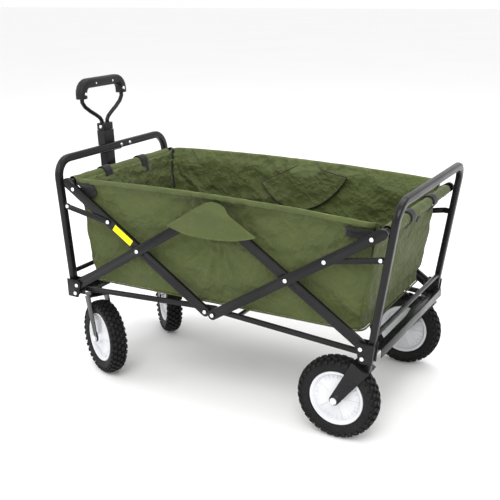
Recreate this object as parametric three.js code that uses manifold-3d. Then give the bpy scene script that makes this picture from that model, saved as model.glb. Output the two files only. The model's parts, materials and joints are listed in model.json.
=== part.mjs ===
// Folding camp wagon: two leaning end hoops, a double scissor on each side, a floor rail that folds
// upwards, a fabric tub, two fixed rear wheels, two swivel casters and a telescoping pull handle.
// Millimetres. The frame is drawn level, rear end at +X, handle end at -X, near side at -Y,
// and the whole group is then raked so that all four wheels stand on z = 0.
import * as THREE from 'three';
import { mergeVertices } from 'three/addons/utils/BufferGeometryUtils.js';
import Module from 'manifold-3d';

const wasm = await Module();
wasm.setup();

// ---------------------------------------------------------------- driving dimensions
const size = {
  pivotX: 391, // arm pivots at the foot of each end hoop, from the middle
  pivotAboveWheels: 36.6, // arm pivots, above the tops of the tyres
  armPitch: 33, // slope of the scissor arms when the wagon is open, degrees
  foldAngle: 39, // how far the arms turn when it folds, degrees
  centreGap: 26.5, // between the two rivets of a centre bracket
  sideY: 240.5, // plane between the outer and the inner scissor arms
  hoopLean: 0.12, // outward lean of the hoops, mm per mm of height
  armEndClearance: 2.2, // between the end of an upper arm and its leg
  rearHoopRise: 76.2, // hoop tops, above the tops of the arms
  frontHoopRise: 53.2,
  wheelRadius: 98.7,
  wheelWidth: 44,
  rearAxleInset: 53, // rear axle, inboard of the arm pivots
  rearWheelInset: 8.5, // middle of a rear wheel, inboard of the arms' plane
  casterOutset: 7, // caster swivel, outboard of the arm pivots
  casterInset: 74.9, // and inboard of the arms' plane
  casterTrail: 48,
  casterTurnNear: 28, // degrees from straight ahead
  casterTurnFar: 45,
  rake: 1.86, // the handle end stands higher, degrees
  tubRimRise: 14.2, // side rims of the tub, above the tops of the arms
  handleAboveBar: 41.6, // outer tube of the handle, past the bar it is clipped to
  handleTravel: 300,
  handleOffBar: 4.9, // between the stowed handle and the front hoop's top bar
};

const running = 0.4; // radial clearance of a rivet or an axle in its hole
const seam = 0.3; // gap between two pieces that touch
const slack = 0.5; // side clearance between bars that pass each other

const armHeight = 24;
const armDepth = 9;
const armWall = 1.8;
const rivetRadius = 4;
const rivetHead = 5.8;
const headHeight = 2.2;
const roundSides = 12; // facets of a rivet, pin or hole
const holeThrough = [size.sideY - 90, size.sideY + 20]; // a hole through every layer of one side

const hoopWidth = 20;
const hoopDepth = 16;
const hoopCorner = 45;
const earThickness = 2.8;

const railHeight = 12;
const railWidth = 8;
const crossTubeRadius = 8;
const thinTubeRadius = 6;

const steel = { color: 0x17171a, roughness: 0.42, metalness: 0.55 };
const zinc = { color: 0xc4c6c8, roughness: 0.3, metalness: 0.9 };
const rubber = { color: 0x141414, roughness: 0.9, metalness: 0 };
const hubPlastic = { color: 0xdedfdc, roughness: 0.5, metalness: 0 };
const blackPlastic = { color: 0x1b1b1c, roughness: 0.6, metalness: 0 };
const fabric = { color: 0x55693a, roughness: 0.9, metalness: 0 };

// ---------------------------------------------------------------- derived layout
const radians = THREE.MathUtils.degToRad;
const pitch = radians(size.armPitch);
const fold = radians(size.foldAngle);
const ends = { rear: 1, front: -1 };
const sides = { near: -1, far: 1 };

const halfGap = size.centreGap / 2;
const pivotZ = 2 * size.wheelRadius + size.pivotAboveWheels;
const armLength = (size.pivotX - halfGap) / Math.cos(pitch);
const halfArm = armLength / 2;
const topRivetInset = 24.8; // last rivet of an upper arm, before its end
const legFromPivot = armHeight / 2 + hoopDepth / 2 + slack;
// the upper arms run on past their mirror length until their ends nearly meet the legs
const topOverhang =
  (legFromPivot
    - armHeight / 2
    - (hoopDepth / 2) * Math.hypot(1, size.hoopLean)
    - size.armEndClearance
    + size.hoopLean * armLength * Math.sin(pitch))
  / (Math.cos(pitch) - size.hoopLean * Math.sin(pitch));
const crossX = (size.pivotX + halfGap) / 2;
const crossZ = pivotZ + halfArm * Math.sin(pitch);
const armTopX = crossX + (halfArm + topOverhang) * Math.cos(pitch);
const armTopZ = crossZ + (halfArm + topOverhang) * Math.sin(pitch);
const rearHoopTop = armTopZ + size.rearHoopRise;
const frontHoopTop = armTopZ + size.frontHoopRise;
const rearAxleX = size.pivotX - size.rearAxleInset;
const rearWheelY = size.sideY - size.rearWheelInset;
const casterX = -(size.pivotX + size.casterOutset);
const casterY = size.sideY - size.casterInset;
const bracketTopZ = pivotZ + armLength * Math.sin(pitch);

// layers across the width, as distances from the middle plane
const outerArm = [size.sideY + slack, size.sideY + slack + armDepth];
const innerArm = [size.sideY - slack - armDepth, size.sideY - slack];
const outerEar = [outerArm[1] + 1, outerArm[1] + 1 + earThickness];
const hoopY = innerArm[0] + 7;
const legInside = hoopY - hoopWidth / 2;
const legOutside = hoopY + hoopWidth / 2;
const innerEar = [legInside - seam - earThickness, legInside - seam];
const centreEar = [innerArm[0] - slack - 2.2, innerArm[0] - slack];
const rearRailY = [innerEar[0] - slack - railWidth, innerEar[0] - slack];
const frontRailY = [rearRailY[0] - slack - railWidth, rearRailY[0] - slack];

const legX = size.pivotX + legFromPivot;
const legAt = (z) => legX + size.hoopLean * (z - pivotZ);
const railPivotX = size.pivotX + 5;
const railPivotZ = pivotZ - 22;
const railRise = 24; // the rail's middle hinge stands this far above its ends
const railTubeFromHinge = 66;

const tubHalfLength = armTopX - crossTubeRadius - 3;
const tubFoot = tubHalfLength - 17;
const tubY = innerEar[0] - 3;
const tubWall = 3;
const tubFloorZ = railPivotZ + railRise + railHeight / 2 + 5;
const tubTopZ = armTopZ + size.tubRimRise;
const tubEndTopZ = armTopZ + crossTubeRadius + 5;

const forkClearance = 3.5; // between a tyre's side and a fork cheek
const cheek = 2.5;
const axleRadius = 5;
const forkWidth = size.wheelWidth / 2 + forkClearance;
const forkSlope = radians(57.9); // of a rear fork, from its axle up to its top plate
const forkReach = size.wheelRadius + 6.7;
const forkTopX = rearAxleX + forkReach * Math.cos(forkSlope);
const forkTopZ = size.wheelRadius + forkReach * Math.sin(forkSlope);
const frontAxleX = casterX + size.casterTrail * Math.cos(radians(size.casterTurnNear));
const casterAxleZ = size.wheelRadius - (rearAxleX - frontAxleX) * Math.tan(radians(size.rake));
const crownZ = casterAxleZ + size.wheelRadius + 6;
const kingpinRadius = 6;
const beadRadius = size.wheelRadius - 33.7;

const channelX = [legX - 0.5, legX + 19.5];
const legBottomZ = pivotZ - 34;
const channelZ = [pivotZ - 24, pivotZ - 3];
const handleX = channelX[1] + 18;
const handleZ = pivotZ - 18;
const handleTube = [24, 38];
const wireRadius = 5.5;
const handleLean =
  (legAt(frontHoopTop) - handleX + handleTube[0] / 2 + hoopDepth / 2 + size.handleOffBar)
  / (frontHoopTop - handleZ);
const lean = Math.atan(handleLean);
const barHeight = (frontHoopTop - handleZ) / Math.cos(lean); // of the front hoop's top, along the handle
const handleLength = barHeight + size.handleAboveBar;

// where the arms and links of one end meet, as points in the XZ plane; the front end mirrors the rear
const foot = { x: size.pivotX, z: pivotZ };
const crossing = { x: crossX, z: crossZ };
const armTop = { x: armTopX, z: armTopZ };
const topRivetAt = {
  x: armTopX - topRivetInset * Math.cos(pitch),
  z: armTopZ - topRivetInset * Math.sin(pitch),
};
const upperBracket = { x: halfGap, z: bracketTopZ };
const lowerBracket = { x: halfGap, z: pivotZ };
const linkZ = armTopZ - 59.8;
const linkOnLeg = { x: legAt(linkZ) - hoopDepth / 2 - 9, z: linkZ };
const linkOnArmDistance = halfArm - 116.2;
const linkOnArm = {
  x: crossX + linkOnArmDistance * Math.cos(pitch),
  z: crossZ + linkOnArmDistance * Math.sin(pitch),
};
const railPivot = { x: railPivotX, z: railPivotZ };
const railHinge = { x: 0, z: railPivotZ + railRise };

// ---------------------------------------------------------------- solids
function solid(geometry) {
  const bare = geometry.clone();
  bare.deleteAttribute('normal');
  bare.deleteAttribute('uv');
  const merged = mergeVertices(bare, 1e-4);
  return new wasm.Manifold(
    new wasm.Mesh({
      numProp: 3,
      vertProperties: new Float32Array(merged.attributes.position.array),
      triVerts: new Uint32Array(merged.index.array),
    }),
  );
}

function geometryOf(body) {
  const mesh = body.getMesh();
  const geometry = new THREE.BufferGeometry();
  geometry.setAttribute('position', new THREE.BufferAttribute(mesh.vertProperties, 3));
  geometry.setIndex(new THREE.BufferAttribute(mesh.triVerts, 1));
  geometry.computeVertexNormals();
  return geometry;
}

function join(...bodies) {
  return bodies.reduce((sum, body) => sum.add(body));
}

function cut(body, ...tools) {
  return tools.reduce((rest, tool) => rest.subtract(tool), body);
}

function box(x, y, z) {
  const geometry = new THREE.BoxGeometry(x[1] - x[0], y[1] - y[0], z[1] - z[0]);
  geometry.translate((x[0] + x[1]) / 2, (y[0] + y[1]) / 2, (z[0] + z[1]) / 2);
  return solid(geometry);
}

// a range of distances from the middle plane, as a range of y on one side
function across(side, range) {
  return side < 0 ? [-range[1], -range[0]] : [range[0], range[1]];
}

// a cylinder along Y
function pin(point, radius, y, segments = roundSides) {
  const geometry = new THREE.CylinderGeometry(radius, radius, y[1] - y[0], segments);
  geometry.translate(point.x, (y[0] + y[1]) / 2, point.z);
  return solid(geometry);
}

// an upright cylinder along Z
function post(x, y, radius, z, segments = 20) {
  const geometry = new THREE.CylinderGeometry(radius, radius, z[1] - z[0], segments);
  geometry.rotateX(Math.PI / 2);
  geometry.translate(x, y, (z[0] + z[1]) / 2);
  return solid(geometry);
}

// a shape drawn in the XZ plane and given a range of y
function plate(shape, y, curveSegments = 5) {
  const depth = y[1] - y[0];
  const geometry = new THREE.ExtrudeGeometry(shape, { depth, bevelEnabled: false, curveSegments });
  geometry.rotateX(Math.PI / 2);
  geometry.translate(0, y[1], 0);
  return solid(geometry);
}

function stadium(a, b, radius) {
  const angle = Math.atan2(b.z - a.z, b.x - a.x);
  const quarter = Math.PI / 2;
  const shape = new THREE.Shape();
  shape.absarc(b.x, b.z, radius, angle - quarter, angle + quarter, false);
  shape.absarc(a.x, a.z, radius, angle + quarter, angle + 3 * quarter, false);
  shape.closePath();
  return shape;
}

// a plate that narrows from a straight top edge to a round end
function taperedShape(top, halfTop, end, radius) {
  const angle = Math.atan2(end.z - top.z, end.x - top.x);
  const quarter = Math.PI / 2;
  const sideways = { x: Math.cos(angle + quarter), z: Math.sin(angle + quarter) };
  const shape = new THREE.Shape();
  shape.moveTo(top.x - halfTop * sideways.x, top.z - halfTop * sideways.z);
  shape.lineTo(end.x - radius * sideways.x, end.z - radius * sideways.z);
  shape.absarc(end.x, end.z, radius, angle - quarter, angle + quarter, false);
  shape.lineTo(top.x + halfTop * sideways.x, top.z + halfTop * sideways.z);
  shape.closePath();
  return shape;
}

function roundedRectangle(width, height, radius) {
  const x = width / 2;
  const y = height / 2;
  const quarter = Math.PI / 2;
  const shape = new THREE.Shape();
  shape.absarc(x - radius, -y + radius, radius, -quarter, 0, false);
  shape.absarc(x - radius, y - radius, radius, 0, quarter, false);
  shape.absarc(-x + radius, y - radius, radius, quarter, 2 * quarter, false);
  shape.absarc(-x + radius, -y + radius, radius, 2 * quarter, 3 * quarter, false);
  shape.closePath();
  return shape;
}

// a path through chosen points, with a section set at each of them
class Route extends THREE.Curve {
  constructor(points) {
    super();
    this.points = points;
  }

  getUtoTmapping(u) {
    return u;
  }

  getPoint(t, target = new THREE.Vector3()) {
    const last = this.points.length - 1;
    const index = Math.min(Math.floor(t * last + 1e-9), last - 1);
    return target.copy(this.points[index]).lerp(this.points[index + 1], t * last - index);
  }

  getTangent(t, target = new THREE.Vector3()) {
    const last = this.points.length - 1;
    const index = Math.round(t * last);
    const before = this.points[Math.max(index - 1, 0)];
    const here = this.points[index];
    const after = this.points[Math.min(index + 1, last)];
    const incoming = new THREE.Vector3().subVectors(here, before).normalize();
    const outgoing = new THREE.Vector3().subVectors(after, here).normalize();
    return target.addVectors(incoming, outgoing).normalize();
  }
}

// straight runs joined by round bends
function bentRoute(corners, radius, stepsPerBend) {
  const points = [corners[0].clone()];
  for (let i = 1; i < corners.length - 1; i += 1) {
    const back = new THREE.Vector3().subVectors(corners[i - 1], corners[i]).normalize();
    const on = new THREE.Vector3().subVectors(corners[i + 1], corners[i]).normalize();
    const half = back.angleTo(on) / 2;
    const bisector = new THREE.Vector3().addVectors(back, on).normalize();
    const centre = corners[i].clone().addScaledVector(bisector, radius / Math.sin(half));
    const start = corners[i].clone().addScaledVector(back, radius / Math.tan(half)).sub(centre);
    const axis = new THREE.Vector3().crossVectors(on, back).normalize();
    for (let step = 0; step <= stepsPerBend; step += 1) {
      const turn = ((Math.PI - 2 * half) * step) / stepsPerBend;
      points.push(start.clone().applyAxisAngle(axis, turn).add(centre));
    }
  }
  points.push(corners[corners.length - 1].clone());
  return new Route(points);
}

function sweep(section, route, curveSegments = 2) {
  const steps = route.points.length - 1;
  const geometry = new THREE.ExtrudeGeometry(section, {
    steps,
    extrudePath: route,
    bevelEnabled: false,
    curveSegments,
  });
  return solid(geometry);
}

// a closed profile of [radius, y] points turned about the Y axis
function turned(profile, segments) {
  const points = profile.map(([radius, y]) => new THREE.Vector2(radius, y));
  points.push(points[0].clone());
  return solid(new THREE.LatheGeometry(points, segments));
}

// ---------------------------------------------------------------- the scene
const wagon = new THREE.Group();

function addNode(name, body, look, place = (geometry) => geometry) {
  const mesh = new THREE.Mesh(place(geometryOf(body)), new THREE.MeshStandardMaterial(look));
  mesh.name = name;
  wagon.add(mesh);
}

const endPoint = (end, point) => ({ x: end * point.x, z: point.z });

function rivet(point, side, range, headOutside) {
  const shank = pin(point, rivetRadius, across(side, range));
  const head = pin(point, rivetHead, across(side, [headOutside, headOutside + headHeight]));
  return join(shank, head);
}

// ---------------------------------------------------------------- scissor arms
// a pressed pan with a closed web on its outer face and its open side inwards
function armBody(a, b, side, layer, holes) {
  const skin = plate(stadium(a, b, armHeight / 2), across(side, layer));
  const inside = [layer[0] - 1, layer[1] - armWall];
  const hollow = plate(stadium(a, b, armHeight / 2 - armWall), across(side, inside));
  const bosses = holes.map((hole) => pin(hole, rivetHead, across(side, layer)));
  const bores = holes.map((hole) => {
    const through = across(side, [layer[0] - 1, layer[1] + 1]);
    return pin(hole, rivetRadius + running, through);
  });
  return cut(join(cut(skin, hollow), ...bosses), ...bores);
}

function addArms() {
  for (const [endName, end] of Object.entries(ends)) {
    // at the rear the upper arm passes outside the lower one, at the front inside it
    const upperLayer = end > 0 ? outerArm : innerArm;
    const lowerLayer = end > 0 ? innerArm : outerArm;
    const outsideIsUpper = end > 0;
    for (const [sideName, side] of Object.entries(sides)) {
      const at = (point) => endPoint(end, point);
      const crossingRivet = rivet(at(crossing), side, [innerArm[0] - 1, outerArm[1]], outerArm[1] - 0.4);
      const topHead = [upperLayer[1] - 0.4, upperLayer[1] + headHeight];
      const topRivet = pin(at(topRivetAt), rivetHead, across(side, topHead));

      const lowerHoles = [at(foot), at(upperBracket)];
      const upperHoles = [at(lowerBracket)];
      (outsideIsUpper ? lowerHoles : upperHoles).push(at(crossing));
      let lower = armBody(at(foot), at(upperBracket), side, lowerLayer, lowerHoles);
      let upper = armBody(at(lowerBracket), at(armTop), side, upperLayer, upperHoles);
      upper = join(upper, topRivet);
      if (outsideIsUpper) {
        upper = join(upper, crossingRivet);
      } else {
        lower = join(lower, crossingRivet);
      }
      addNode(`${endName}_lower_arm_${sideName}`, lower, steel);
      addNode(`${endName}_upper_arm_${sideName}`, upper, steel);
    }
    const reach = upperLayer[0] - seam;
    const tube = pin(endPoint(end, armTop), crossTubeRadius, [-reach, reach], 16);
    addNode(`${endName}_top_tube`, tube, steel);
  }
}

// the plates that join the two arms at the middle, above and below
function addCentreBrackets() {
  const levels = { top: upperBracket, bottom: lowerBracket };
  for (const [levelName, rearPoint] of Object.entries(levels)) {
    const frontPoint = endPoint(-1, rearPoint);
    for (const [sideName, side] of Object.entries(sides)) {
      const backing = plate(stadium(frontPoint, rearPoint, armHeight / 2 + 1), across(side, centreEar));
      const rearLayer = levelName === 'top' ? innerArm : outerArm;
      const frontLayer = levelName === 'top' ? outerArm : innerArm;
      const rearRivet = rivet(rearPoint, side, [centreEar[0], rearLayer[1] + 1], rearLayer[1] + 0.4);
      const frontRivet = rivet(frontPoint, side, [centreEar[0], frontLayer[1] + 1], frontLayer[1] + 0.4);
      addNode(`${levelName}_bracket_${sideName}`, join(backing, rearRivet, frontRivet), steel);
    }
  }
}

// flat links that keep each hoop upright against its upper arm
function addLinks() {
  const linkThickness = 3;
  for (const [endName, end] of Object.entries(ends)) {
    const layer = linkLayer(end, linkThickness);
    for (const [sideName, side] of Object.entries(sides)) {
      const outline = stadium(endPoint(end, linkOnLeg), endPoint(end, linkOnArm), 7);
      const hole = pin(endPoint(end, linkOnLeg), rivetRadius + running, across(side, holeThrough));
      const bar = cut(plate(outline, across(side, layer)), hole);
      addNode(`${endName}_link_${sideName}`, bar, steel);
    }
  }
}

function linkLayer(end, thickness) {
  if (end > 0) {
    return [outerArm[0] - slack - thickness, outerArm[0] - slack];
  }
  return [innerArm[1] + slack, innerArm[1] + slack + thickness];
}

// ---------------------------------------------------------------- end hoops
function hoopBody(end, topZ, bottomZ) {
  const corner = (side, z) => new THREE.Vector3(end * legAt(z), side * hoopY, z);
  const corners = [corner(-1, bottomZ), corner(-1, topZ), corner(1, topZ), corner(1, bottomZ)];
  const route = bentRoute(corners, hoopCorner, 7);
  const tube = sweep(roundedRectangle(hoopWidth, hoopDepth, 5), route);
  const lugs = Object.values(sides).map((side) => {
    const link = linkLayer(end, 3);
    const lug = across(side, [link[0] - slack - 3, link[0] - slack]);
    const outline = stadium(endPoint(end, linkOnLeg), { x: end * legAt(linkZ), z: linkZ }, 7);
    const peg = pin(endPoint(end, linkOnLeg), rivetRadius, across(side, [link[0] - slack - 3, link[1] + 0.3]));
    return join(plate(outline, lug), peg);
  });
  return join(tube, ...lugs);
}

// everything below the fork's top plate, so the leg can be cut to stand on it
function belowForkPlate() {
  const slope = Math.atan2(forkTopZ - size.wheelRadius, forkTopX - rearAxleX);
  const reach = 120;
  const geometry = new THREE.BoxGeometry(reach, 2 * reach * 3, reach);
  geometry.rotateY(Math.PI / 2 - slope);
  const lift = cheek / 2 + seam - reach / 2;
  geometry.translate(forkTopX + lift * Math.cos(slope), 0, forkTopZ + lift * Math.sin(slope));
  return solid(geometry);
}

function addHoops() {
  addNode('rear_hoop', cut(hoopBody(1, rearHoopTop - hoopWidth / 2, forkTopZ - 38), belowForkPlate()), steel);
  addNode('front_hoop', hoopBody(-1, frontHoopTop, legBottomZ), steel);
}

// ears on both faces of a leg that hold the arm's foot and the end of the floor rail
function addFootBrackets() {
  for (const [endName, end] of Object.entries(ends)) {
    const railLayer = end > 0 ? rearRailY : frontRailY;
    for (const [sideName, side] of Object.entries(sides)) {
      const shape = new THREE.Shape();
      const outline = [
        [size.pivotX - 11, pivotZ + 6],
        [size.pivotX - 3, pivotZ + 14],
        [legX + 11, pivotZ + 14],
        [legX + 8, legBottomZ + 1],
        [railPivotX - 8, legBottomZ + 1],
      ];
      shape.setFromPoints(outline.map(([x, z]) => new THREE.Vector2(end * x, z)));
      const ears = [outerEar, innerEar].map((layer) => plate(shape, across(side, layer)));
      const pad = box(
        end > 0 ? [legX - 7, legX + 7] : [-legX - 7, -legX + 7],
        across(side, [legOutside + seam, outerEar[0] + 0.5]),
        [legBottomZ + 2, pivotZ + 12],
      );
      const armRivet = rivet(endPoint(end, foot), side, [innerEar[0], outerEar[1]], outerEar[1] - 0.4);
      const railEnd = railLayer[0] - 1.5;
      const railRivet = rivet(endPoint(end, railPivot), side, [railEnd, outerEar[1]], outerEar[1] - 0.4);
      addNode(`${endName}_bracket_${sideName}`, join(...ears, pad, armRivet, railRivet), steel);
    }
  }
}

// a channel, open downwards, and a thin tube between the two legs of each hoop
function addCrossMembers() {
  const wall = 2.5;
  const barZ = pivotZ + 30;
  const reach = innerEar[0] - seam;
  const legReach = legInside - seam;
  for (const [endName, end] of Object.entries(ends)) {
    const span = (range) => (end > 0 ? range : [-range[1], -range[0]]);
    const outside = box(span(channelX), [-reach, reach], channelZ);
    const inner = [channelX[0] + wall, channelX[1] - wall];
    const hollow = box(span(inner), [-reach - 1, reach + 1], [channelZ[0] - 1, channelZ[1] - wall]);
    addNode(`${endName}_cross_channel`, cut(outside, hollow), steel);
    const bar = pin({ x: end * legAt(barZ), z: barZ }, thinTubeRadius, [-legReach, legReach]);
    addNode(`${endName}_cross_bar`, bar, steel);
  }
}

// ---------------------------------------------------------------- floor rails
function addRails() {
  for (const [endName, end] of Object.entries(ends)) {
    const layer = end > 0 ? rearRailY : frontRailY;
    const pivotPoint = endPoint(end, railPivot);
    const bars = Object.values(sides).map((side) => {
      const bar = plate(stadium(pivotPoint, railHinge, railHeight / 2), across(side, layer));
      return cut(bar, pin(pivotPoint, rivetRadius + running, across(side, holeThrough)));
    });
    const share = railTubeFromHinge / railPivotX;
    const tubeAt = { x: end * railTubeFromHinge, z: railHinge.z - railRise * share };
    const tube = pin(tubeAt, thinTubeRadius - 0.5, [-layer[0] - 1, layer[0] + 1]);
    addNode(`${endName}_floor_rail`, join(...bars, tube), steel);
  }
}

// ---------------------------------------------------------------- wheels
function tyreBody() {
  const half = size.wheelWidth / 2;
  const outer = size.wheelRadius;
  const inner = beadRadius;
  return turned(
    [
      [inner, -half + 5],
      [inner + 8, -half + 1],
      [inner + 18, -half],
      [outer - 7, -half + 2],
      [outer - 2, -half + 6],
      [outer, 0],
      [outer - 2, half - 6],
      [outer - 7, half - 2],
      [inner + 18, half],
      [inner + 8, half - 1],
      [inner, half - 5],
    ],
    36,
  );
}

function hubBody() {
  const rim = beadRadius - seam;
  const bore = axleRadius + running;
  const half = size.wheelWidth / 2;
  return turned(
    [
      [bore, -half - 2],
      [15, -half - 2],
      [17, -12],
      [rim - 7, -10],
      [rim - 5, -half + 3],
      [rim, -half + 3],
      [rim, half - 3],
      [rim - 5, half - 3],
      [rim - 7, 10],
      [17, 12],
      [15, half + 2],
      [bore, half + 2],
    ],
    24,
  );
}

function axleBody() {
  const halfSpan = forkWidth + cheek;
  const bolt = pin({ x: 0, z: 0 }, axleRadius, [-halfSpan - 2, halfSpan + 2]);
  const head = pin({ x: 0, z: 0 }, 8, [-halfSpan - 4.5, -halfSpan - seam]);
  const nut = pin({ x: 0, z: 0 }, 8, [halfSpan + seam, halfSpan + 5.5], 6);
  return join(bolt, head, nut);
}

function cheeks(shape, axle) {
  const layers = [
    [-forkWidth - cheek, -forkWidth],
    [forkWidth, forkWidth + cheek],
  ];
  const bore = pin(axle, axleRadius + running, [-forkWidth - 10, forkWidth + 10]);
  return layers.map((layer) => cut(plate(shape, layer), bore));
}

function rearForkBody() {
  const axle = { x: rearAxleX, z: size.wheelRadius };
  const top = { x: forkTopX, z: forkTopZ };
  const slope = Math.atan2(top.z - axle.z, top.x - axle.x);
  const crown = new THREE.BoxGeometry(cheek, 2 * (forkWidth + cheek), 44);
  crown.rotateY(-slope);
  crown.translate(top.x, 0, top.z);
  return join(solid(crown), ...cheeks(taperedShape(top, 22, axle, 12), axle));
}

function casterForkBody() {
  const axle = { x: size.casterTrail, z: casterAxleZ };
  const crown = box([-19, 21], [-forkWidth - cheek, forkWidth + cheek], [crownZ, crownZ + 3.5]);
  const shape = taperedShape({ x: 1, z: crownZ + 1 }, 17, axle, 10);
  const kingpin = post(0, 0, kingpinRadius, [crownZ + 1, channelZ[0] - 4]);
  return join(crown, kingpin, ...cheeks(shape, axle));
}

function addWheels() {
  for (const [sideName, side] of Object.entries(sides)) {
    const atRear = (geometry) => geometry.translate(rearAxleX, side * rearWheelY, size.wheelRadius);
    const outwards = (geometry) => atRear(side > 0 ? geometry.rotateZ(Math.PI) : geometry);
    addNode(`rear_tyre_${sideName}`, tyreBody(), rubber, atRear);
    addNode(`rear_hub_${sideName}`, hubBody(), hubPlastic, atRear);
    addNode(`rear_axle_${sideName}`, axleBody(), zinc, outwards);
    addNode(`rear_fork_${sideName}`, rearForkBody(), steel, (geometry) => {
      return geometry.translate(0, side * rearWheelY, 0);
    });

    const turn = -radians(side < 0 ? size.casterTurnNear : size.casterTurnFar);
    const swing = (geometry) => geometry.rotateZ(turn).translate(casterX, side * casterY, 0);
    const atAxle = (geometry) => swing(geometry.translate(size.casterTrail, 0, casterAxleZ));
    addNode(`front_tyre_${sideName}`, tyreBody(), rubber, atAxle);
    addNode(`front_hub_${sideName}`, hubBody(), hubPlastic, atAxle);
    addNode(`caster_axle_${sideName}`, axleBody(), zinc, atAxle);
    addNode(`caster_fork_${sideName}`, casterForkBody(), steel, swing);
  }
}

// the fixed plate of each caster, under the front channel
function addCasterMounts() {
  for (const [sideName, side] of Object.entries(sides)) {
    const y = side * casterY;
    const bottom = crownZ + 3.5 + 1;
    const flange = box([-channelX[1], casterX + 24], [y - 30, y + 30], [channelZ[0] - 4, channelZ[0] - seam]);
    const race = post(casterX, y, 16, [bottom, channelZ[0] - 2]);
    const bore = post(casterX, y, kingpinRadius + running, [bottom - 1, channelZ[0] + 1]);
    addNode(`caster_mount_${sideName}`, cut(join(flange, race), bore), steel);
  }
}

// ---------------------------------------------------------------- handle
// handle pieces are drawn upright from the pivot and then leant outwards
const leanHandle = (geometry) => geometry.rotateY(-lean).translate(-handleX, 0, handleZ);

function upright(shape, z) {
  const geometry = new THREE.ExtrudeGeometry(shape, { depth: z[1] - z[0], bevelEnabled: false, curveSegments: 3 });
  geometry.translate(0, 0, z[0]);
  return solid(geometry);
}

function rectangularTube(outer, wall, z) {
  const skin = upright(roundedRectangle(outer[0], outer[1], 3), z);
  const hollow = roundedRectangle(outer[0] - 2 * wall, outer[1] - 2 * wall, 1.6);
  return cut(skin, upright(hollow, [z[0] - 1, z[1] + 1]));
}

function addHandle() {
  const [depth, width] = handleTube;
  const innerTube = [depth - 5, width - 5];
  const tubeTop = handleLength - 9;
  const collarZ = [barHeight + 1, handleLength];
  const socketZ = [handleLength + 1.5, handleLength + 19];
  const through = { x: 0, z: 0 };

  const bore = pin(through, rivetRadius + running, [-width, width]);
  addNode('handle_tube', cut(rectangularTube(handleTube, 1.7, [-7, tubeTop]), bore), steel, leanHandle);

  const collarSkin = upright(roundedRectangle(depth + 5, width + 5, 5), collarZ);
  const collarSeat = upright(roundedRectangle(depth + 2 * seam, width + 2 * seam, 3), [collarZ[0] - 1, tubeTop + seam]);
  const collarMouth = upright(roundedRectangle(innerTube[0] + 1, innerTube[1] + 1, 2), [collarZ[0], collarZ[1] + 1]);
  addNode('handle_collar', cut(collarSkin, collarSeat, collarMouth), blackPlastic, leanHandle);

  const innerZ = [30, socketZ[1] - 3];
  addNode('handle_inner_tube', rectangularTube(innerTube, 1.5, innerZ), steel, leanHandle);

  const socketSkin = upright(roundedRectangle(depth + 3, width + 3, 5), socketZ);
  const socketSeat = roundedRectangle(innerTube[0] + 2 * seam, innerTube[1] + 2 * seam, 3);
  const socketHollow = upright(socketSeat, [socketZ[0] - 1, innerZ[1] + seam]);
  addNode('handle_socket', cut(socketSkin, socketHollow), blackPlastic, leanHandle);

  const grip = { reach: 86, foot: socketZ[1] + 73, rise: 39 };
  const gripCorners = [
    [-grip.reach, grip.foot],
    [-grip.reach, grip.foot + grip.rise],
    [grip.reach, grip.foot + grip.rise],
    [grip.reach, grip.foot],
  ];
  const gripRoute = bentRoute(gripCorners.map(([y, z]) => new THREE.Vector3(0, y, z)), 27, 5);
  const gripBody = sweep(roundedRectangle(26, 27, 9), gripRoute);
  addNode('handle_grip', gripBody, blackPlastic, leanHandle);

  // the two bent rods between the socket and the grip, as half widths at heights above the socket
  const wireCurve = [
    [12, seam],
    [12, 7],
    [19, 16],
    [35, 26],
    [56, 37.5],
    [76, 51],
    [grip.reach, 64],
    [grip.reach, 73 - seam],
  ];
  for (const [sideName, side] of Object.entries(sides)) {
    const points = wireCurve.map(([y, z]) => new THREE.Vector3(0, side * y, socketZ[1] + z));
    const section = new THREE.Shape();
    section.absarc(0, 0, wireRadius, 0, 2 * Math.PI, false);
    addNode(`handle_wire_${sideName}`, sweep(section, new Route(points), 8), steel, leanHandle);
  }
}

// the fork that carries the handle's pivot, and the clip that holds the stowed handle to the top bar
function addHandleFittings() {
  const [depth, width] = handleTube;
  const pivotPoint = { x: -handleX, z: handleZ };
  const gap = width / 2 + 1;
  const base = box([-channelX[1] - 3 - seam, -channelX[1] - seam], [-gap - 3, gap + 3], channelZ);
  const ears = Object.values(sides).map((side) => {
    return plate(stadium(pivotPoint, { x: -channelX[1] - 4, z: handleZ }, 12), across(side, [gap, gap + 3]));
  });
  const beyondBase = box([-channelX[1] - seam, -channelX[1] + 20], [-gap - 5, gap + 5], [channelZ[0] - 50, channelZ[1] + 29]);
  const hinge = pin(pivotPoint, rivetRadius, [-gap - 5, gap + 5]);
  addNode('handle_yoke', join(cut(join(base, ...ears), beyondBase), hinge), steel);

  const barFace = (handleX - legAt(frontHoopTop) + handleLean * (frontHoopTop - handleZ))
    * Math.cos(lean) - hoopDepth / 2 - seam;
  const clipZ = [barHeight - 9 - 8, barHeight + 7 - 8];
  const strap = box([barFace - 2.5 - seam, barFace - seam], [-44, 44], clipZ);
  const block = box([depth / 2 + slack, barFace - 1], [-gap - 2.5, gap + 2.5], clipZ);
  const jaws = Object.values(sides).map((side) => {
    return box([-7, barFace - 1], across(side, [gap - 0.4, gap + 2.5]), clipZ);
  });
  addNode('handle_clip', join(strap, block, ...jaws), blackPlastic, leanHandle);
}

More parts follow.
